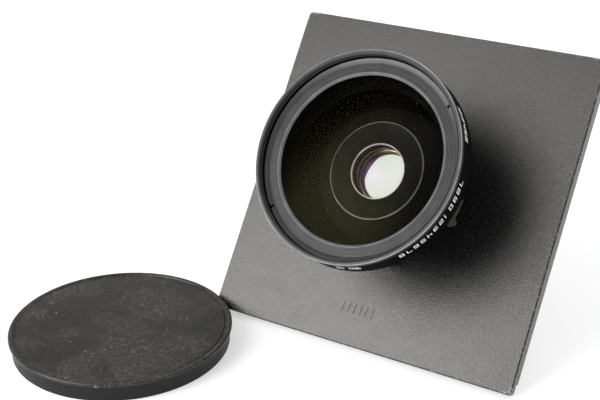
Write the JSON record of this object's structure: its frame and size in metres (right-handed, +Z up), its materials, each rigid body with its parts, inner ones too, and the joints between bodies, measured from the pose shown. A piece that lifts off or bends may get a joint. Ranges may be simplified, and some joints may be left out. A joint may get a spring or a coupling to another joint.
{
  "type": "view camera lens on board",
  "caption": "Wide-angle view-camera lens in a leaf shutter on a square lens board, leaning back on its rear rim, with its push-on front cap lying beside it.",
  "frame": {"origin": "on the floor, in the middle of the footprint of the leaning lens and its cap", "axes": "+X along the width of the board, +Y from the front of the lens towards its back, +Z up"},
  "size_m": [0.2054, 0.1932, 0.1239],
  "materials": {
    "board_paint": "fine-textured semi-gloss black paint on aluminium",
    "black_anodised": "satin black anodised",
    "grey_ring": "dark grey anodised, turned",
    "inner_black": "matt black anodised",
    "blade_steel": "blackened spring steel",
    "drive_metal": "plain machined",
    "lever_metal": "satin bare metal",
    "steel": "plain steel",
    "socket_chrome": "bright plated",
    "outer_glass": "multicoated",
    "inner_glass": "multicoated",
    "cap_plastic": "worn black plastic, scratched"
  },
  "bodies": {
    "board_and_lens": {"board_plate": "board_paint", "light_trap_frame": "board_paint", "front_barrel": "black_anodised", "filter_ring": "black_anodised", "rear_barrel": "black_anodised", "flange_ring": "black_anodised", "shutter_housing": "black_anodised", "front_plate": "black_anodised", "cover_ring": "black_anodised", "aperture_scale": "black_anodised", "front_retaining_ring": "grey_ring", "baffle_ring": "grey_ring", "rear_retaining_ring": "grey_ring", "front_doublet_retainer": "inner_black", "rear_doublet_retainer": "inner_black", "iris_base_ring": "inner_black", "shutter_base_plate": "inner_black", "mechanism_plate": "inner_black", "housing_posts": "drive_metal", "iris_pivot_pins": "drive_metal", "shutter_pivot_pins": "drive_metal", "cocking_spring": "steel", "release_pivot": "steel", "index_screw": "steel", "front_plate_screws": "steel", "cable_socket": "socket_chrome", "sync_socket": "socket_chrome", "sync_contact": "socket_chrome", "front_meniscus": "outer_glass", "rear_meniscus": "outer_glass", "front_crown": "inner_glass", "front_flint": "inner_glass", "rear_crown": "inner_glass", "rear_flint": "inner_glass"},
    "aperture_ring": {"iris_cam_ring": "drive_metal", "aperture_lever": "lever_metal"},
    "press_focus": {"press_focus_lever": "drive_metal"},
    "speed_dial": {"speed_ring": "black_anodised"},
    "cocking": {"cocking_lever": "lever_metal"},
    "release": {"release_lever": "lever_metal"},
    "cap": {"front_cap": "cap_plastic"},
    "iris_leaf_1": {"iris_blade_1": "blade_steel"},
    "iris_leaf_2": {"iris_blade_2": "blade_steel"},
    "iris_leaf_3": {"iris_blade_3": "blade_steel"},
    "iris_leaf_4": {"iris_blade_4": "blade_steel"},
    "iris_leaf_5": {"iris_blade_5": "blade_steel"},
    "iris_leaf_6": {"iris_blade_6": "blade_steel"},
    "iris_leaf_7": {"iris_blade_7": "blade_steel"},
    "shutter_leaf_1": {"shutter_blade_1": "blade_steel"},
    "shutter_leaf_2": {"shutter_blade_2": "blade_steel"},
    "shutter_leaf_3": {"shutter_blade_3": "blade_steel"},
    "shutter_leaf_4": {"shutter_blade_4": "blade_steel"},
    "shutter_leaf_5": {"shutter_blade_5": "blade_steel"}
  },
  "joints": [
    {"name": "aperture_turn", "type": "hinge", "parent": "board_and_lens", "child": "aperture_ring", "pos_m": [0.03265, 0.02842, 0.06273], "axis": [0, -0.8119, 0.5838], "range_deg": [0, 36]},
    {"name": "press_focus_turn", "type": "hinge", "parent": "board_and_lens", "child": "press_focus", "pos_m": [0.03265, 0.02542, 0.06489], "axis": [0, -0.8119, 0.5838], "range_deg": [0, 25]},
    {"name": "speed_turn", "type": "hinge", "parent": "board_and_lens", "child": "speed_dial", "pos_m": [0.03265, 0.01917, 0.06938], "axis": [0, -0.8119, 0.5838], "range_deg": [0, 150]},
    {"name": "cocking_turn", "type": "hinge", "parent": "board_and_lens", "child": "cocking", "pos_m": [0.03265, 0.02323, 0.06646], "axis": [0, -0.8119, 0.5838], "range_deg": [-34, 0], "stiffness_Nm_per_rad": 0.02, "springref_deg": 5.73},
    {"name": "release_turn", "type": "hinge", "parent": "board_and_lens", "child": "release", "pos_m": [0.02444, 0.00893, 0.04897], "axis": [0, -0.8119, 0.5838], "range_deg": [0, 8], "stiffness_Nm_per_rad": 0.02, "springref_deg": -2.86},
    {"name": "cap_lift", "type": "slide", "parent": "board_and_lens", "child": "cap", "axis": [0, 0, 1], "range_m": [0, 0.05]},
    {"name": "iris_leaf_1_swing", "type": "hinge", "parent": "board_and_lens", "child": "iris_leaf_1", "pos_m": [0.04995, 0.03005, 0.06156], "axis": [0, -0.8119, 0.5838], "range_deg": [0, 26.01]},
    {"name": "iris_leaf_2_swing", "type": "hinge", "parent": "board_and_lens", "child": "iris_leaf_2", "pos_m": [0.04344, 0.03778, 0.07266], "axis": [0, -0.8119, 0.5838], "range_deg": [0, 26.01]},
    {"name": "iris_leaf_3_swing", "type": "hinge", "parent": "board_and_lens", "child": "iris_leaf_3", "pos_m": [0.0288, 0.03957, 0.07549], "axis": [0, -0.8119, 0.5838], "range_deg": [0, 26.01]},
    {"name": "iris_leaf_4_swing", "type": "hinge", "parent": "board_and_lens", "child": "iris_leaf_4", "pos_m": [0.01706, 0.03394, 0.068], "axis": [0, -0.8119, 0.5838], "range_deg": [0, 26.01]},
    {"name": "iris_leaf_5_swing", "type": "hinge", "parent": "board_and_lens", "child": "iris_leaf_5", "pos_m": [0.01706, 0.02502, 0.05593], "axis": [0, -0.8119, 0.5838], "range_deg": [0, 26.01]},
    {"name": "iris_leaf_6_swing", "type": "hinge", "parent": "board_and_lens", "child": "iris_leaf_6", "pos_m": [0.0288, 0.01939, 0.04845], "axis": [0, -0.8119, 0.5838], "range_deg": [0, 26.01]},
    {"name": "iris_leaf_7_swing", "type": "hinge", "parent": "board_and_lens", "child": "iris_leaf_7", "pos_m": [0.04344, 0.02118, 0.05128], "axis": [0, -0.8119, 0.5838], "range_deg": [0, 26.01]},
    {"name": "shutter_leaf_1_swing", "type": "hinge", "parent": "board_and_lens", "child": "shutter_leaf_1", "pos_m": [0.05405, 0.02688, 0.06384], "axis": [0, -0.8119, 0.5838], "range_deg": [0, 30.01]},
    {"name": "shutter_leaf_2_swing", "type": "hinge", "parent": "board_and_lens", "child": "shutter_leaf_2", "pos_m": [0.03926, 0.03856, 0.08051], "axis": [0, -0.8119, 0.5838], "range_deg": [0, 30.01]},
    {"name": "shutter_leaf_3_swing", "type": "hinge", "parent": "board_and_lens", "child": "shutter_leaf_3", "pos_m": [0.01534, 0.03382, 0.07434], "axis": [0, -0.8119, 0.5838], "range_deg": [0, 30.01]},
    {"name": "shutter_leaf_4_swing", "type": "hinge", "parent": "board_and_lens", "child": "shutter_leaf_4", "pos_m": [0.01534, 0.01893, 0.05406], "axis": [0, -0.8119, 0.5838], "range_deg": [0, 30.01]},
    {"name": "shutter_leaf_5_swing", "type": "hinge", "parent": "board_and_lens", "child": "shutter_leaf_5", "pos_m": [0.03926, 0.01419, 0.0479], "axis": [0, -0.8119, 0.5838], "range_deg": [0, 30.01]}
  ],
  "couplings": [
    {"joint": "iris_leaf_1_swing", "follows": "aperture_turn", "ratio": 0.7222},
    {"joint": "iris_leaf_2_swing", "follows": "aperture_turn", "ratio": 0.7222},
    {"joint": "iris_leaf_3_swing", "follows": "aperture_turn", "ratio": 0.7222},
    {"joint": "iris_leaf_4_swing", "follows": "aperture_turn", "ratio": 0.7222},
    {"joint": "iris_leaf_5_swing", "follows": "aperture_turn", "ratio": 0.7222},
    {"joint": "iris_leaf_6_swing", "follows": "aperture_turn", "ratio": 0.7222},
    {"joint": "iris_leaf_7_swing", "follows": "aperture_turn", "ratio": 0.7222},
    {"joint": "shutter_leaf_1_swing", "follows": "press_focus_turn", "ratio": 1.2},
    {"joint": "shutter_leaf_2_swing", "follows": "press_focus_turn", "ratio": 1.2},
    {"joint": "shutter_leaf_3_swing", "follows": "press_focus_turn", "ratio": 1.2},
    {"joint": "shutter_leaf_4_swing", "follows": "press_focus_turn", "ratio": 1.2},
    {"joint": "shutter_leaf_5_swing", "follows": "press_focus_turn", "ratio": 1.2}
  ]
}
